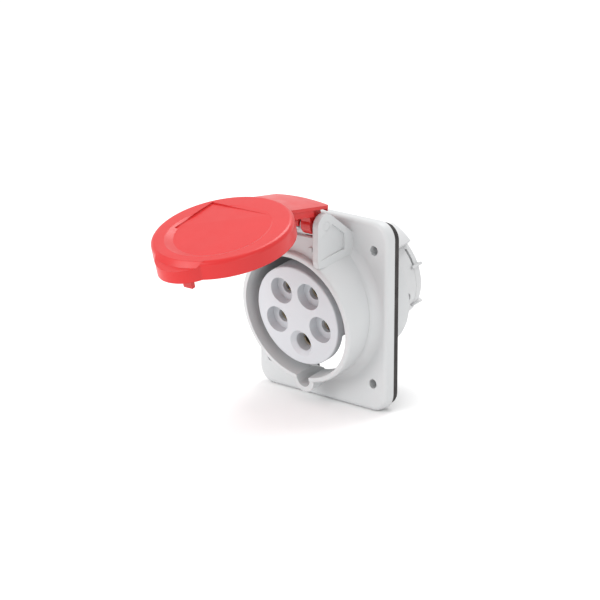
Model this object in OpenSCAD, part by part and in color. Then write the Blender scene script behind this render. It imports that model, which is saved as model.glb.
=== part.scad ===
// Angled flush-mounting panel socket with five contacts and a hinged lid.
// Millimetres. The panel's face is the plane Y = 0, the front looks towards -Y
// and +Z is up. The socket's axis crosses the flange's face near its middle
// and dips towards the front.

/* [Flange] */
// Width of the flange
flange_w = 75; // [74:0.5:80]
// Height of the flange
flange_h = 85; // [85:0.5:92]
// Thickness of the flange plate
plate_t = 5.2; // [4.8:0.1:5.8]
// Radius of the flange's corners
corner_r = 8; // [6:0.5:10]
// Radius that rounds over the plate's front edge
edge_r = 2; // [1:0.5:3]
// Distance between the fixing holes, both ways
hole_pitch = 60; // [58:0.5:61]
// Diameter of the fixing holes
hole_d = 4.2; // [4:0.1:5]
// Thickness of the sealing gasket
gasket_t = 3.3; // [2.6:0.1:3.6]

/* [Socket] */
// Angle by which the socket dips below the horizontal
tilt = 10; // [9:0.5:11]
// Outer diameter of the collar and of the skirt behind the panel
collar_od = 62.2; // [62:0.1:63]
// Inner diameter of the collar, which takes the plug's shroud
collar_id = 57.4; // [57:0.1:58]
// How far the collar's rim stands out from the flange along the axis
collar_reach = 17.7; // [17:0.1:18.4]
// How far the skirt runs back from the flange's face along the axis
skirt_depth = 23.1; // [22.6:0.1:23.6]
// Diameter of the contact carrier
carrier_d = 46.1; // [45.6:0.1:46.4]
// Depth of the carrier's face below the rim
face_recess = 1.7; // [1.2:0.1:2.4]
// Diameter of the circle that the contacts stand on
contact_circle = 26.3; // [26:0.1:26.6]
// Diameter of the plug's phase and neutral pins
pin_d = 5; // [4.8:0.1:5]
// Diameter of the plug's earth pin
earth_pin_d = 7; // [6.8:0.1:7]

/* [Lid] */
// Opening angle at which the lid is drawn, 0 is closed
lid_open = 85; // [0:5:100]
// Outer diameter of the lid
lid_d = 61.2; // [61:0.1:61.8]
// Width of the arm that carries the lid
arm_w = 31; // [30:0.5:32]
// Distance of the hinge pin in front of the flange's face
hinge_out = 17; // [16.8:0.1:17.2]
// Height of the hinge pin above the flange's centre
hinge_up = 42; // [41.8:0.1:42.4]
// Diameter of the hinge pin
hinge_pin_d = 4; // [3.6:0.1:4.1]

/* [Rear] */
// Depth of the rear cap's back face behind the flange's face, along the axis
rear_depth = 42.2; // [41.8:0.1:43]
// Diameter of the wire entries
wire_hole_d = 6; // [5:0.1:6.4]

/* [Hidden] */
$fn = 96;

GREY = [0.86, 0.87, 0.88];
PALE = [0.82, 0.82, 0.85];
RED = [0.86, 0.12, 0.10];
BLACK = [0.12, 0.11, 0.11];
BRASS = [0.80, 0.65, 0.32];
STEEL = [0.70, 0.71, 0.73];

over = 1;                                  // how far a cutter runs past a face
gap = 0.1;                                 // room between fixed pieces
front = gasket_t + plate_t;                // flange's face in front of the panel
axis_z = 1.17;                             // height where the axis meets that face
collar_r = collar_od / 2;
bore_r = collar_id / 2;
carrier_r = carrier_d / 2;
contact_r = contact_circle / 2;
face_s = collar_reach - face_recess;       // carrier's face along the axis

// Contact angles round the axis, seen from the front, anticlockwise from the right
ANGLE_L1 = 126;
ANGLE_L2 = 54;
ANGLE_L3 = 342;
ANGLE_NEUTRAL = 198;
ANGLE_EARTH = 270;
LIVE_ANGLES = [ANGLE_L1, ANGLE_L2, ANGLE_L3, ANGLE_NEUTRAL];

// Collar and its keyway
rim_round = 1;
flare_r = 4;                               // fillet between collar and plate
key_w = 7;
key_centre = 30.2;                         // radius of the keyway's round bottom
key_wall = 2.4;

// Window in the underside of the skirt, where the wires leave
window_from = 232;
window_sweep = 81;
window_top_s = 7.3;                        // where it starts inside the collar
window_slope = 0.54;

// Hinge ears and the saddle between them
ear_in = 14.8;
ear_out = 17.8;
ear_round = 5.5;
ear_slope = 36;
ear_foot = 24;
pocket_depth = 1.1;
saddle_out = 20;                           // saddle's face in front of the flange
saddle_top = 37;
shelf_z = 35.2;

// Lid, in the socket's own axes with the lid closed
lid_top_s = collar_reach + 8.85;           // top of the crest round the dish
lid_low_s = collar_reach + 0.85;           // lower edge of the skirt
lid_round = 2;                             // radius of the top edge
lid_wall = 1.7;
dish_r = 21;                               // flat part of the dish
dish_slope = 2.3;                          // run of its border for each mm of depth
dish_mid = 0.83;                           // depth in the middle
dish_tilt = 2.4;                           // makes it deeper towards the lip
lip_r = 14.4;                              // thumb lip's own radius
lip_reach = 35.5;
lip_fall = 0.06;                           // slope of the lip's top
arm_top_s = collar_reach + 7.3;            // arm's top edges where it leaves the lid
arm_wall = 1.4;
arm_start = 26;
arm_end = 49.6;
arm_bend = 20.1;
arm_crown = 1;                             // rise of the arm's middle over its edges
arm_side_x = 14.5;
arm_side_h = 4.5;
knuckle_w = 25;
knuckle_r = 4.6;
knuckle_gap = 14;                          // room between the knuckles for the spring
tooth_w = 5;
tooth_t = 1.8;
tooth_r = 25.4;
tooth_low_s = 10.9;
seal_r = bore_r + 0.8;
seal_t = 2.8;
seal_seat = 2.3;                           // depth of the seal's groove in the skirt
spring_wire_r = 0.4;
spring_r = 2.7;
spring_turns = 6;
spring_steps = 14;                         // points on one turn
spring_sides = 6;
spring_half_w = 5.8;
pin_t = hinge_out * sin(tilt) + (hinge_up - axis_z) * cos(tilt);
pin_s = hinge_out * cos(tilt) - (hinge_up - axis_z) * sin(tilt);

// Contact carrier
face_t = 3.5;
well_d = 12.1;                             // counterbore round a live contact
well_depth = 4.5;
pin_hole_d = 6;
tower_r = 6;
tower_neck_r = 7.2;
base_t = 3.6;
shoulder_r = 26;

// Contacts and terminals
sleeve_r = 4;
earth_sleeve_r = 4.9;
sleeve_top_s = face_s - well_depth - 2.1;
sleeve_end_s = -37;
barrel_s = -24;                            // where the sleeve widens to its terminal
barrel_r = 4.8;
contact_depth = 26;
nose_h = 1.3;                              // sleeve's narrow front end
nose_wall = 0.6;
slit_w = 0.8;
wire_r = 2.2;
wire_depth = 10;
clamp_s = 3;
clamp_len = 4;
terminal_s = -31;
screw_r = 2;
block_front_s = -skirt_depth - 2.1;
cap_s = -38;                               // joint between terminal block and cap
arm_angles = [54, 126];                    // snap arms of the rear cap
cap_arm_sweep = 26;
slot_w = 1.1;                              // finger slots beside the snap arms
cap_arm_r = 26.9;
rib_angles = [16, -31, 164, 211];
tie_angles = [18, 162];                    // long screws that tie the rear together
tie_r = 18.6;

// ---- helpers -------------------------------------------------------------

// Puts a shape drawn round +Z onto the socket's axis, +Z pointing out
module on_axis() {
    translate([0, -front, axis_z]) rotate([90 + tilt, 0, 0]) children();
}

// Swings a closed lid open about the hinge pin
module swung(angle) {
    translate([0, -front - hinge_out, hinge_up])
        rotate([-angle, 0, 0])
            translate([0, front + hinge_out, -hinge_up])
                children();
}

// Stands a shape drawn flat on the panel plane up from the panel
module on_panel() {
    rotate([90, 0, 0]) children();
}

// Extrudes a side view across the width, centred on X = 0
module across(w) {
    rotate([90, 0, 90]) linear_extrude(w, center = true) children();
}

module tube(r_out, r_in, low, high) {
    difference() {
        translate([0, 0, low]) cylinder(r = r_out, h = high - low);
        translate([0, 0, low - over]) cylinder(r = r_in, h = high - low + 2 * over);
    }
}

module rounded_rect(w, h, r) {
    square([w - 2 * r, h], center = true);
    square([w, h - 2 * r], center = true);
    for (x = [-1, 1], y = [-1, 1])
        translate([x * (w / 2 - r), y * (h / 2 - r)]) circle(r);
}

// Section of a plate's border: flat below, its top outer edge rounded over
module border(reach, t, edge) {
    square([reach, t - edge]);
    square([reach - edge, t]);
    translate([reach - edge, t - edge]) circle(edge, $fn = 32);
}

// A plate with round corners whose top edge is rounded over all the way round
module rounded_plate(w, h, t, corner, edge) {
    x = w / 2 - corner;
    y = h / 2 - corner;
    for (side = [0, 1]) {
        mirror([0, side, 0]) across(2 * x) border(h / 2, t, edge);
        mirror([side, 0, 0]) translate([x, 0, 0]) rotate([90, 0, 0])
            linear_extrude(2 * y, center = true) border(corner, t, edge);
    }
    for (place = [[x, y, 0], [-x, y, 90], [-x, -y, 180], [x, -y, 270]])
        translate([place[0], place[1], 0]) rotate([0, 0, place[2]])
            rotate_extrude(angle = 90) border(corner, t, edge);
}

// A ring sector drawn as a revolved rectangle
module sector(from, sweep, r_in, r_out, low, high) {
    rotate([0, 0, from]) rotate_extrude(angle = sweep)
        translate([r_in, low]) square([r_out - r_in, high - low]);
}

module at_hinge() {
    translate([0, -front - hinge_out, hinge_up]) rotate([0, 90, 0]) children();
}

// ---- housing -------------------------------------------------------------

// Flange, collar, hinge ears and rear skirt are one moulding
module flange_housing() {
    color(GREY) difference() {
        union() {
            translate([0, -gasket_t, 0]) on_panel()
                rounded_plate(flange_w, flange_h, plate_t, corner_r, edge_r);
            on_axis() collar_wall();
            collar_flare();
            on_axis() key_bump();
            for (side = [0, 1]) mirror([side, 0, 0]) hinge_ear();
            saddle();
        }
        on_axis() collar_room();
        panel_holes();
        at_hinge() cylinder(r = hinge_pin_d / 2, h = 2 * ear_out + 2 * over, center = true);
    }
}

module collar_wall() {
    rotate_extrude() {
        translate([bore_r - 2, -skirt_depth])
            square([collar_r - bore_r + 2, skirt_depth + collar_reach - rim_round]);
        translate([bore_r - 2, 0])
            square([collar_r - bore_r + 2 - rim_round, collar_reach]);
        translate([collar_r - rim_round, collar_reach - rim_round])
            circle(rim_round, $fn = 32);
    }
    translate([0, 0, -skirt_depth]) cylinder(r = collar_r, h = 2);
}

// Concave fillet where the collar leaves the plate
module collar_flare() {
    translate([0, -front, axis_z - flare_r * tan(tilt)]) on_panel() rotate_extrude()
        difference() {
            translate([bore_r, -plate_t / 2])
                square([collar_r - bore_r + flare_r + 0.2, plate_t / 2 + flare_r]);
            translate([collar_r + flare_r + 0.2, flare_r]) circle(flare_r);
        }
}

// The collar swells round the keyway at its lowest point
module key_bump() {
    foot = 2.6;
    translate([0, -key_centre, foot])
        cylinder(r = key_w / 2 + key_wall, h = collar_reach - foot - 0.3);
    translate([-key_w / 2 - key_wall, -key_centre, foot])
        cube([key_w + 2 * key_wall, 6, collar_reach - foot - 0.3]);
}

// Everything that is open inside the collar and the skirt
module collar_room() {
    floor_s = -skirt_depth + 2;
    translate([0, 0, floor_s]) cylinder(r = bore_r, h = collar_reach - floor_s + 4 * over);
    translate([0, 0, -skirt_depth - over]) cylinder(r = carrier_r + 0.2, h = 5);
    translate([0, -key_centre, -skirt_depth - over])
        cylinder(r = key_w / 2, h = skirt_depth + collar_reach + 2 * over);
    translate([-key_w / 2, -key_centre, -skirt_depth - over])
        cube([key_w, 8, skirt_depth + collar_reach + 2 * over]);
    skirt_window();
}

module skirt_window() {
    reach = 5.8;
    rotate([0, 0, window_from]) rotate_extrude(angle = window_sweep)
        polygon([
            [bore_r - 4, -skirt_depth - over],
            [bore_r - 4, window_top_s],
            [bore_r, window_top_s],
            [bore_r + reach, window_top_s - reach / window_slope],
            [bore_r + reach, -skirt_depth - over]
        ]);
}

module panel_holes() {
    for (x = [-1, 1], z = [-1, 1])
        translate([x * hole_pitch / 2, over, z * hole_pitch / 2]) on_panel()
            cylinder(d = hole_d, h = front + 2 * over);
}

module ear_outline() {
    y = -front - hinge_out;
    run = 10;
    tip = [y + ear_round * sin(ear_slope), hinge_up + ear_round * cos(ear_slope)];
    translate([y, hinge_up]) circle(ear_round);
    polygon([
        [y - ear_round + 0.8, ear_foot],
        [y - ear_round, ear_foot + 3],
        [y - ear_round, hinge_up],
        [y, hinge_up],
        tip,
        [-front + 1, tip[1] - tan(ear_slope) * (-front + 1 - tip[0])],
        [-front + 1, ear_foot]
    ]);
}

module hinge_ear() {
    difference() {
        rotate([90, 0, 90]) translate([0, 0, ear_in])
            linear_extrude(ear_out - ear_in) ear_outline();
        ear_pocket();
    }
}

// Shallow pocket that deepens towards the flange
module ear_pocket() {
    y0 = -front - hinge_out - ear_round + 0.8;
    span = 16.6;
    translate([ear_out, y0, 0]) rotate([0, 0, atan(pocket_depth / span)])
        rotate([90, 0, 90]) linear_extrude(3 * over)
            polygon([
                [0, 27.4], [0, 36.5],
                [8.6, 42.3], [span, 36.7],
                [span, 29.8], [10.2, 28.9]
            ]);
}

// Wall and shelf between the ears
module saddle() {
    y0 = -front - saddle_out;
    across(2 * ear_in + 1) {
        polygon([
            [y0, 26], [y0, saddle_top - 0.6], [y0 + 0.6, saddle_top],
            [y0 + 2.4, saddle_top], [y0 + 4.2, shelf_z],
            [-front + 1, shelf_z], [-front + 1, 26]
        ]);
    }
    // small stop on the saddle's face
    translate([11, y0 - 0.8, 30.4]) cube([1.8, 2, 2]);
}

module flange_gasket() {
    side_inset = 0.6;
    end_inset = 1.4;
    color(BLACK) difference() {
        on_panel() linear_extrude(gasket_t)
            rounded_rect(flange_w - 2 * side_inset, flange_h - 2 * end_inset, corner_r - 1);
        translate([0, over, 2]) on_panel() cylinder(r = 34, h = gasket_t + 2 * over);
        translate([0, over, -29.5]) on_panel() cylinder(r = 8.5, h = gasket_t + 2 * over);
        panel_holes();
    }
}

// ---- lid -----------------------------------------------------------------

module lid() {
    color(RED) swung(lid_open) on_axis() {
        difference() {
            union() {
                lid_shell();
                lid_lip();
                lid_arm();
            }
            lid_hollow();
            lid_dish();
            lid_label_flat();
            translate([0, pin_t, pin_s]) rotate([0, 90, 0])
                cylinder(r = hinge_pin_d / 2 + 0.06, h = knuckle_w + 2 * over, center = true);
        }
        lid_inside();
    }
}

// Skirt and top, with the top's edge rounded over
module lid_shell() {
    r = lid_d / 2;
    rotate_extrude() translate([0, lid_low_s])
        border(r, lid_top_s - lid_low_s, lid_round);
}

// Shallow dish with a sloping border
module lid_dish() {
    h = 4;
    translate([0, 0, lid_top_s - dish_mid]) rotate([dish_tilt, 0, 0])
        cylinder(r1 = dish_r, r2 = dish_r + dish_slope * h, h = h);
}

// Thumb lip, whose top slopes down towards its tip
module lid_lip() {
    crease_s = lid_top_s - lid_round;
    crease_t = -27.3;
    tip = -lip_reach - over;
    inner = -22;
    blend = 0.9;
    intersection() {
        translate([0, lip_r - lip_reach, lid_low_s]) cylinder(r = lip_r, h = lid_round * 4);
        union() {
            across(2 * lip_r) polygon([
                [tip, lid_low_s],
                [tip, crease_s + lip_fall * (tip - crease_t)],
                [inner, crease_s + lip_fall * (inner - crease_t)],
                [inner, lid_low_s]
            ]);
            // eases the lip's top into the lid's rounded edge
            translate([0, 0, lid_low_s]) cylinder(
                r1 = lid_d / 2 + crease_s - lid_low_s + blend, r2 = lid_d / 2 - lid_round + blend,
                h = lid_top_s - lid_low_s);
        }
    }
}

// Draws on the arm: +Y runs down its slope and +Z stands on it
module on_arm() {
    translate([0, arm_start, arm_top_s]) rotate([-arm_bend, 0, 0]) children();
}

// Part of the arm's crowned plate, from one distance along it to another
module arm_layer(from, to, t) {
    crown_r = (arm_w * arm_w / 4 + arm_crown * arm_crown) / 2 / arm_crown;
    end = (arm_end - arm_start) / cos(arm_bend);
    corner = 1.2;
    on_arm() intersection() {
        translate([0, from, arm_crown - crown_r]) rotate([-90, 0, 0])
            linear_extrude(to - from) difference() {
                circle(crown_r, $fn = 720);
                circle(crown_r - t, $fn = 720);
            }
        translate([0, end / 2 - corner, -5]) linear_extrude(10)
            rounded_rect(arm_w, end + 2 * corner, corner);
    }
}

// Side view of the arm's flanks
module arm_slab(from, to, depth) {
    rise = tan(arm_bend);
    polygon([
        [from, arm_top_s - rise * (from - arm_start)],
        [to, arm_top_s - rise * (to - arm_start)],
        [to, arm_top_s - rise * (to - arm_start) - depth / cos(arm_bend)],
        [from, arm_top_s - rise * (from - arm_start) - depth / cos(arm_bend)]
    ]);
}

module lid_arm() {
    flank_end = 40.5;
    end = (arm_end - arm_start) / cos(arm_bend);
    arm_layer(0, end + over, arm_wall);
    // down-turned lip along the free end
    arm_layer(end - 1.2, end - 0.1, 2.4);
    for (side = [-1, 1])
        translate([side * (arm_side_x - arm_wall / 2), 0, 0]) across(arm_wall)
            arm_slab(arm_start - 1, flank_end, arm_side_h);
    for (side = [-1, 1])
        translate([side * (knuckle_w + knuckle_gap) / 4, 0, 0])
            across((knuckle_w - knuckle_gap) / 2) knuckle_side();
    // web in front of the spring
    translate([-0.8, 0, 0]) across(knuckle_gap - 1.6) {
        intersection() {
            knuckle_side();
            translate([pin_t - knuckle_r, pin_s]) rotate(-15) square([1.3, 20]);
        }
    }
}

module knuckle_side() {
    rise = tan(arm_bend);
    top = arm_top_s - 0.2;
    a = pin_t - knuckle_r + 0.9;
    b = pin_t + knuckle_r - 1;
    translate([pin_t, pin_s]) circle(knuckle_r);
    polygon([
        [a, pin_s],
        [a, top - rise * (a - arm_start)],
        [b, top - rise * (b - arm_start)],
        [b, pin_s]
    ]);
}

module lid_hollow() {
    roof = lid_top_s - 2 * dish_mid - lid_wall;
    wall_r = bore_r - 1.4;
    rotate_extrude() polygon([
        [0, lid_low_s - over],
        [seal_r + gap, lid_low_s - over],
        [seal_r + gap, lid_low_s + seal_seat],
        [wall_r, lid_low_s + seal_seat],
        [wall_r - 0.4, roof + 0.4],
        [0, roof]
    ]);
    translate([0, lip_r - lip_reach, lid_low_s - over])
        cylinder(r = lip_r - 2.6, h = 3.6);
}

// Flat for a label, which fades out towards the lip and the right
module lid_label_flat() {
    translate([-21.5, 17.5, lid_top_s - 0.62]) rotate([1, -0.9, 0])
        translate([0, -24, 0]) cube([33, 24, 4]);
}

// Tooth that holds the plug in place
module lid_inside() {
    root_s = lid_top_s - 2;
    translate([0, -tooth_r, 0]) rotate([-90, 0, 0]) linear_extrude(tooth_t)
        polygon([
            [-tooth_w / 2 - 0.7, -root_s], [tooth_w / 2 + 0.7, -root_s],
            [tooth_w / 2, -tooth_low_s], [-tooth_w / 2, -tooth_low_s]
        ]);
}

module lid_seal() {
    color(BLACK) swung(lid_open) on_axis()
        tube(seal_r, bore_r - 0.6, lid_low_s + seal_seat - seal_t, lid_low_s + seal_seat - gap);
}

module hinge_pin() {
    color(GREY) at_hinge()
        cylinder(r = hinge_pin_d / 2 - 0.02, h = 2 * ear_out - 0.1, center = true);
}

// ---- torsion spring ------------------------------------------------------

// Centre line of the spring in the hinge's own axes: x along the pin, then y, z
function spring_coil() = [
    for (i = [0 : spring_turns * spring_steps + spring_steps / 2])
        let (a = 90 + 360 * i / spring_steps, n = spring_turns * spring_steps + spring_steps / 2)
            [spring_half_w - 2 * spring_half_w * i / n, spring_r * cos(a), spring_r * sin(a)]
];

module wire(points, r, sides) {
    n = len(points);
    function dir(i) = let (d = points[min(i + 1, n - 1)] - points[max(i - 1, 0)]) d / norm(d);
    ring = [for (i = [0 : n - 1])
        let (d = dir(i), u0 = cross(d, [1, 0.02, 0]), u = u0 / norm(u0), v = cross(d, u))
            for (k = [0 : sides - 1])
                points[i] + r * (cos(360 * k / sides) * u + sin(360 * k / sides) * v)];
    walls = [for (i = [0 : n - 2], k = [0 : sides - 1])
        [i * sides + k, i * sides + (k + 1) % sides,
         (i + 1) * sides + (k + 1) % sides, (i + 1) * sides + k]];
    caps = [[for (k = [0 : sides - 1]) sides - 1 - k],
            [for (k = [0 : sides - 1]) (n - 1) * sides + k]];
    polyhedron(ring, concat([for (w = walls) [w[3], w[2], w[1], w[0]]],
        [for (c = caps) [for (k = [len(c) - 1 : -1 : 0]) c[k]]]));
}

module lid_spring() {
    coil = spring_coil();
    n = len(coil) - 1;
    start = [[coil[0][0], -12, 7.1], [coil[0][0], -7, 5.2], [coil[0][0], -2, 3.0]];
    end = [[coil[n][0], 3, -3.1], [coil[n][0], 7, -4.8], [coil[n][0], 12, -6.2]];
    color(STEEL) translate([0, -front - hinge_out, hinge_up])
        wire(concat(start, coil, end), spring_wire_r, spring_sides);
}

// ---- contact carrier and rear --------------------------------------------

module at_contact(angle) {
    rotate([0, 0, angle]) translate([contact_r, 0, 0]) children();
}

module contact_carrier() {
    wall = 1.9;
    low = block_front_s + gap;
    color(PALE) on_axis() difference() {
        union() {
            rotate_extrude() {
                translate([0, face_s - face_t]) square([carrier_r - 0.6, face_t]);
                translate([0, face_s - face_t]) square([carrier_r, face_t - 0.6]);
                translate([carrier_r - 0.6, face_s - 0.6]) circle(0.6, $fn = 32);
            }
            difference() {
                tube(carrier_r, carrier_r - wall, low, face_s - face_t / 2);
                sector(196, 148, carrier_r - wall - over, carrier_r + over,
                       low + base_t, face_s - face_t);
            }
            translate([0, 0, low]) cylinder(r = carrier_r, h = base_t);
            for (a = [30, 90, 150])
                sector(a - 6, 12, carrier_r - over, carrier_r + 1,
                       -skirt_depth + 2 + gap, -skirt_depth + 3.2);
            for (a = LIVE_ANGLES) at_contact(a) {
                translate([0, 0, low + 1]) cylinder(r = tower_r, h = face_s - low - 2);
                translate([0, 0, face_s - well_depth - 2])
                    cylinder(r = tower_neck_r, h = well_depth + 1);
            }
            at_contact(ANGLE_EARTH) translate([0, 0, low + 1])
                cylinder(r = tower_r + 0.4, h = face_s - low - 2);
        }
        for (a = LIVE_ANGLES) at_contact(a) live_passage(low);
        at_contact(ANGLE_EARTH) earth_passage(low);
        for (a = tie_angles) rotate([0, 0, a]) translate([tie_r, 0, low - over])
            cylinder(r = 1.25, h = 8);
    }
}

module live_passage(low) {
    translate([0, 0, face_s - well_depth]) cylinder(d = well_d, h = well_depth + over);
    translate([0, 0, sleeve_top_s - over]) cylinder(d = pin_hole_d, h = 6);
    translate([0, 0, low - over]) cylinder(r = sleeve_r + gap, h = sleeve_top_s + gap - low + over);
}

module earth_passage(low) {
    dish = 1.9;
    translate([0, 0, face_s - dish]) cylinder(r1 = 4.2, r2 = 6.05, h = dish + 0.01);
    translate([0, 0, sleeve_top_s - nose_h]) cylinder(r = 4.2, h = 12);
    translate([0, 0, low - over])
        cylinder(r = earth_sleeve_r + gap, h = sleeve_top_s - nose_h + gap - low + over);
}

// One turned brass contact: split tube in front, wire barrel behind
module sleeve(angle, pin, r_out) {
    color(BRASS) on_axis() at_contact(angle) difference() {
        union() {
            translate([0, 0, barrel_s]) cylinder(r = r_out, h = sleeve_top_s - nose_h - barrel_s);
            translate([0, 0, barrel_s])
                cylinder(r = pin / 2 + nose_wall, h = sleeve_top_s - barrel_s);
            translate([0, 0, sleeve_end_s]) cylinder(r = barrel_r, h = barrel_s - sleeve_end_s - 1.2);
            translate([0, 0, barrel_s - 1.2]) cylinder(r = min(r_out, barrel_r), h = 1.2);
        }
        translate([0, 0, sleeve_top_s - contact_depth]) cylinder(d = pin, h = contact_depth + over);
        translate([-slit_w / 2, -r_out - over, sleeve_top_s - contact_depth * 0.7])
            cube([slit_w, 2 * r_out + 2 * over, contact_depth]);
        translate([0, 0, clamp_s]) tube(r_out + over, r_out - 0.5, 0, clamp_len);
        translate([0, 0, sleeve_end_s - over]) cylinder(r = wire_r, h = wire_depth + over);
        translate([0, 0, terminal_s]) rotate([0, 90, 0]) cylinder(r = screw_r, h = barrel_r + over);
    }
}

module clamp_ring(angle, r_out) {
    color(STEEL) on_axis() at_contact(angle) difference() {
        tube(r_out, r_out - 0.5, clamp_s + gap, clamp_s + clamp_len - gap);
        rotate([0, 0, 45]) translate([0, -0.4, clamp_s]) cube([r_out + over, 0.8, clamp_len]);
    }
}

module terminal_screw(angle) {
    color(STEEL) on_axis() at_contact(angle) translate([0, 0, terminal_s]) rotate([0, 90, 0])
        difference() {
            union() {
                translate([0, 0, wire_r + 0.1]) cylinder(r = screw_r - 0.05, h = 4);
                translate([0, 0, barrel_r + 0.2]) cylinder(r = 2.9, h = 2);
            }
            translate([-4, -0.4, barrel_r + 1.2]) cube([8, 0.8, 2]);
        }
}

// Its shoulder and the carrier's lugs hold the skirt's floor between them
module terminal_block() {
    low = cap_s + gap;
    color(GREY) on_axis() difference() {
        union() {
            translate([0, 0, low]) cylinder(r = carrier_r, h = block_front_s - low);
            translate([0, 0, block_front_s - 1.8]) cylinder(r = shoulder_r, h = 1.8);
            tube(shoulder_r, carrier_r + gap, block_front_s - 0.5, -skirt_depth - gap);
        }
        for (a = [each LIVE_ANGLES, ANGLE_EARTH]) at_contact(a) {
            translate([0, 0, low - over]) cylinder(r = barrel_r + gap, h = 20);
            translate([0, 0, terminal_s]) rotate([0, 90, 0]) cylinder(r = 3.3, h = 14);
        }
        for (a = tie_angles) rotate([0, 0, a]) translate([tie_r, 0, low - over])
            cylinder(r = 1.7, h = 20);
    }
}

module rear_cap() {
    low = -rear_depth;
    color(GREY) on_axis() difference() {
        union() {
            rotate_extrude() {
                translate([0, low]) square([carrier_r - 1, cap_s - low]);
                translate([0, low + 1]) square([carrier_r, cap_s - low - 1]);
                translate([carrier_r - 1, low + 1]) circle(1, $fn = 32);
            }
            for (a = arm_angles) cap_arm(a);
            for (a = rib_angles) rotate([0, 0, a]) {
                translate([carrier_r - 2, -0.6, low - 1]) cube([3.1, 1.2, cap_s - low + 1]);
                translate([carrier_r + gap, -0.6, cap_s - 1]) cube([1, 1.2, 2.4]);
            }
        }
        for (a = [each LIVE_ANGLES, ANGLE_EARTH]) at_contact(a)
            translate([0, 0, low - over]) cylinder(d = wire_hole_d, h = 8);
        for (a = tie_angles) rotate([0, 0, a]) translate([tie_r, 0, low - over]) {
            cylinder(r = 1.7, h = 8);
            cylinder(r = 3, h = over + 1.6);
        }
        // finger slots between an arm and the next rib
        for (a = [17.7, 142.6])
            sector(a, 19.7, carrier_r - 2, carrier_r + over, cap_s - slot_w, cap_s + over);
    }
}

// Snap arm that reaches forward over the terminal block
module cap_arm(angle) {
    difference() {
        sector(angle - cap_arm_sweep / 2, cap_arm_sweep, carrier_r + gap, cap_arm_r, cap_s - 2.6, cap_s + 10);
        rotate([0, 0, angle]) translate([carrier_r - 3, 0, terminal_s]) rotate([0, 90, 0])
            cylinder(r = 3.3, h = 10);
    }
    sector(angle - cap_arm_sweep / 2, cap_arm_sweep, carrier_r - over, cap_arm_r, cap_s - 2.6, cap_s);
}

module rear_screws() {
    color(STEEL) on_axis() for (a = tie_angles) rotate([0, 0, a])
        translate([tie_r, 0, -rear_depth + 0.1]) difference() {
            union() {
                cylinder(r = 2.75, h = 1.5);
                cylinder(r = 1.2, h = rear_depth - skirt_depth + 2);
            }
            translate([-4, -0.35, -over]) cube([8, 0.7, over + 0.8]);
        }
}

// ---- assembly ------------------------------------------------------------

flange_housing();
flange_gasket();
lid();
lid_seal();
hinge_pin();
lid_spring();
contact_carrier();
terminal_block();
rear_cap();
rear_screws();
sleeve(ANGLE_L1, pin_d, sleeve_r);  // sleeve_l1
sleeve(ANGLE_L2, pin_d, sleeve_r);  // sleeve_l2
sleeve(ANGLE_L3, pin_d, sleeve_r);  // sleeve_l3
sleeve(ANGLE_NEUTRAL, pin_d, sleeve_r);  // sleeve_neutral
sleeve(ANGLE_EARTH, earth_pin_d, earth_sleeve_r);  // sleeve_earth
clamp_ring(ANGLE_L1, sleeve_r);  // clamp_ring_l1
clamp_ring(ANGLE_L2, sleeve_r);  // clamp_ring_l2
clamp_ring(ANGLE_L3, sleeve_r);  // clamp_ring_l3
clamp_ring(ANGLE_NEUTRAL, sleeve_r);  // clamp_ring_neutral
clamp_ring(ANGLE_EARTH, earth_sleeve_r);  // clamp_ring_earth
terminal_screw(ANGLE_L1);  // terminal_screw_l1
terminal_screw(ANGLE_L2);  // terminal_screw_l2
terminal_screw(ANGLE_L3);  // terminal_screw_l3
terminal_screw(ANGLE_NEUTRAL);  // terminal_screw_neutral
terminal_screw(ANGLE_EARTH);  // terminal_screw_earth
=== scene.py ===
import bpy
from mathutils import Matrix, Vector

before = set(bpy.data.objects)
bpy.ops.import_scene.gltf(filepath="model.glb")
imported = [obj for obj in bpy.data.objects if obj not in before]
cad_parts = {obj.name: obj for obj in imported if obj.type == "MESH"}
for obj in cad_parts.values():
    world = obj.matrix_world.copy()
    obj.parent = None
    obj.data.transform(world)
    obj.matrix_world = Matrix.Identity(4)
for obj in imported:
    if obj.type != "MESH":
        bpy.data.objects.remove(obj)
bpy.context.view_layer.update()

MM = 0.001


# ---- camera ---------------------------------------------------------------

CAMERA_BACK = (0.64077, -0.71562, 0.27807)      # from the object towards the camera
CAMERA_RIGHT = (0.745, 0.667, 0.0)
CAMERA_DISTANCE = 1139.65 * MM
AIM_RIGHT = -15.092 * MM                        # the aim, from the frame's origin
AIM_UP = 0.457 * MM
LENS = 154.48
SENSOR_WIDTH = 36.0


def make_camera():
    """The photograph's view: from the right, a little above the axis."""
    back = Vector(CAMERA_BACK).normalized()
    right = Vector(CAMERA_RIGHT).normalized()
    up = back.cross(right)
    target = right * AIM_RIGHT + up * AIM_UP
    data = bpy.data.cameras.new("camera")
    data.lens = LENS
    data.sensor_width = SENSOR_WIDTH
    data.clip_start = 0.05
    data.clip_end = 20.0
    cam = bpy.data.objects.new("camera", data)
    bpy.context.scene.collection.objects.link(cam)
    cam.matrix_world = Matrix.Translation(target + back * CAMERA_DISTANCE) @ Matrix(
        (right, up, back)).transposed().to_4x4()
    bpy.context.scene.camera = cam


# ---- studio ---------------------------------------------------------------

FLOOR_Z = -42.7 * MM
FLOOR_HALF_WIDTH = 12.0


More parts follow.
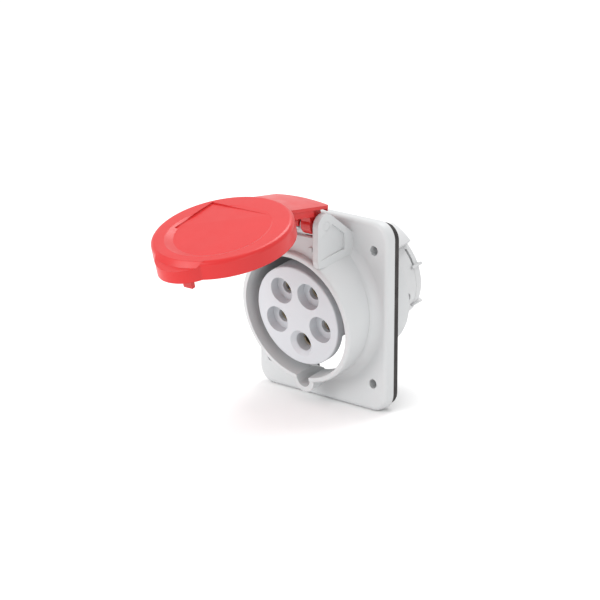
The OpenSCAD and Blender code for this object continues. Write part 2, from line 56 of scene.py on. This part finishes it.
def make_studio():
    scene = bpy.context.scene
    scene.view_settings.view_transform = "Standard"
    world = bpy.data.worlds.new("studio")
    world.use_nodes = True
    world.node_tree.nodes["Background"].inputs["Color"].default_value = (1, 1, 1, 1)
    world.node_tree.nodes["Background"].inputs["Strength"].default_value = 1.0
    scene.world = world

    size = FLOOR_HALF_WIDTH
    mesh = bpy.data.meshes.new("floor")
    mesh.from_pydata([(-size, -size, 0), (size, -size, 0), (size, size, 0), (-size, size, 0)],
                     [], [(0, 1, 2, 3)])
    floor = bpy.data.objects.new("floor", mesh)
    floor.location.z = FLOOR_Z
    scene.collection.objects.link(floor)
    floor.data.materials.append(make_floor())

    area_light("key", (-0.35, -0.95, 0.45), 0.7, 5.4)
    area_light("top", (-0.1, 0.45, 0.90), 0.7, 5.0)
    area_light("side", (0.9, -0.35, 0.15), 0.6, 0.8)


def area_light(name, place, size, power):
    data = bpy.data.lights.new(name, "AREA")
    data.shape = "DISK"
    data.size = size
    data.energy = power
    light = bpy.data.objects.new(name, data)
    light.location = place
    light.rotation_euler = (-Vector(place)).to_track_quat("-Z", "Y").to_euler()
    bpy.context.scene.collection.objects.link(light)


# ---- materials ------------------------------------------------------------

EDGE_RADIUS = 0.35 * MM     # how wide a moulded edge's rounding catches the light


class Nodes:
    """A material's node tree, with short calls to add nodes and links."""

    def __init__(self, name):
        self.material = bpy.data.materials.new(name)
        self.material.use_nodes = True
        self.tree = self.material.node_tree
        self.shader = self.tree.nodes["Principled BSDF"]
        self.place = self.tree.nodes.new("ShaderNodeTexCoord").outputs["Object"]

    def add(self, kind, **values):
        node = self.tree.nodes.new(kind)
        for key, value in values.items():
            if hasattr(node, key):
                setattr(node, key, value)
            else:
                node.inputs[key.replace("_", " ")].default_value = value
        return node

    def link(self, source, target):
        self.tree.links.new(source, target)

    def noise(self, scale, detail=3.0):
        node = self.add("ShaderNodeTexNoise", Scale=scale, Detail=detail, Roughness=0.5)
        self.link(self.place, node.inputs["Vector"])
        return node.outputs["Fac"]

    def ramp(self, fac, low, high):
        node = self.tree.nodes.new("ShaderNodeValToRGB")
        node.color_ramp.elements[0].position = 0.3
        node.color_ramp.elements[1].position = 0.7
        node.color_ramp.elements[0].color = as_rgba(low)
        node.color_ramp.elements[1].color = as_rgba(high)
        self.link(fac, node.inputs["Fac"])
        return node.outputs["Color"]

    def bump(self, height, strength, distance, under):
        node = self.add("ShaderNodeBump", Strength=strength, Distance=distance)
        self.link(height, node.inputs["Height"])
        self.link(under, node.inputs["Normal"])
        return node.outputs["Normal"]

    def soft_edges(self):
        node = self.add("ShaderNodeBevel", samples=6, Radius=EDGE_RADIUS)
        return node.outputs["Normal"]


def as_rgba(value):
    if isinstance(value, (int, float)):
        value = (value, value, value)
    return (*value, 1.0)


def make_floor():
    n = Nodes("floor_paper")
    n.link(n.ramp(n.noise(3.0), 0.90, 0.93), n.shader.inputs["Base Color"])
    n.shader.inputs["Roughness"].default_value = 0.9
    return n.material


def moulded(name, colour, drift, roughness):
    """Injection-moulded plastic: fine spark texture, slow drift of colour and gloss."""
    n = Nodes(name)
    low = tuple(c * (1 - drift) for c in colour)
    high = tuple(min(1.0, c * (1 + drift)) for c in colour)
    n.link(n.ramp(n.noise(38.0, 2.0), low, high), n.shader.inputs["Base Color"])
    n.link(n.ramp(n.noise(160.0, 4.0), roughness - 0.05, roughness + 0.05),
           n.shader.inputs["Roughness"])
    fine = n.bump(n.noise(4200.0, 2.0), 0.06, 0.00004, n.soft_edges())
    n.link(n.bump(n.noise(55.0, 1.0), 0.05, 0.0004, fine), n.shader.inputs["Normal"])
    n.shader.inputs["IOR"].default_value = 1.5
    return n.material


def rubber(name):
    n = Nodes(name)
    n.link(n.ramp(n.noise(90.0, 4.0), (0.012, 0.010, 0.010), (0.028, 0.024, 0.023)),
           n.shader.inputs["Base Color"])
    n.link(n.ramp(n.noise(300.0, 3.0), 0.62, 0.78), n.shader.inputs["Roughness"])
    n.link(n.bump(n.noise(2500.0, 3.0), 0.25, 0.0001, n.soft_edges()), n.shader.inputs["Normal"])
    return n.material


def metal(name, low, high, roughness):
    n = Nodes(name)
    n.link(n.ramp(n.noise(120.0, 4.0), low, high), n.shader.inputs["Base Color"])
    n.link(n.ramp(n.noise(600.0, 3.0), roughness - 0.07, roughness + 0.07),
           n.shader.inputs["Roughness"])
    n.link(n.bump(n.noise(1500.0, 2.0), 0.12, 0.00005, n.soft_edges()), n.shader.inputs["Normal"])
    n.shader.inputs["Metallic"].default_value = 1.0
    return n.material


def dress_nodes():
    housing = moulded("housing_plastic", (0.540, 0.550, 0.556), 0.012, 0.42)
    carrier = moulded("carrier_plastic", (0.530, 0.545, 0.570), 0.012, 0.50)
    rear = moulded("rear_plastic", (0.545, 0.550, 0.555), 0.012, 0.45)
    red = moulded("lid_plastic", (0.55, 0.010, 0.010), 0.03, 0.33)
    black = rubber("gasket_rubber")
    brass = metal("contact_brass", (0.46, 0.38, 0.25), (0.60, 0.50, 0.34), 0.34)
    spring = metal("spring_steel", (0.42, 0.42, 0.43), (0.56, 0.56, 0.57), 0.32)
    zinc = metal("zinc_steel", (0.50, 0.50, 0.51), (0.66, 0.66, 0.67), 0.35)
    chosen = {
        "flange_housing": housing, "contact_carrier": carrier, "terminal_block": rear,
        "rear_cap": rear, "lid": red, "flange_gasket": black, "lid_seal": black,
        "lid_spring": spring, "hinge_pin": housing, "rear_screws": zinc,
    }
    starts = {"sleeve_": brass, "clamp_ring_": spring, "terminal_screw_": zinc}
    for name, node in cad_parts.items():
        material = chosen.get(name)
        for start, other in starts.items():
            if name.startswith(start):
                material = other
        node.data.materials.clear()
        node.data.materials.append(material)


make_camera()
make_studio()
dress_nodes()
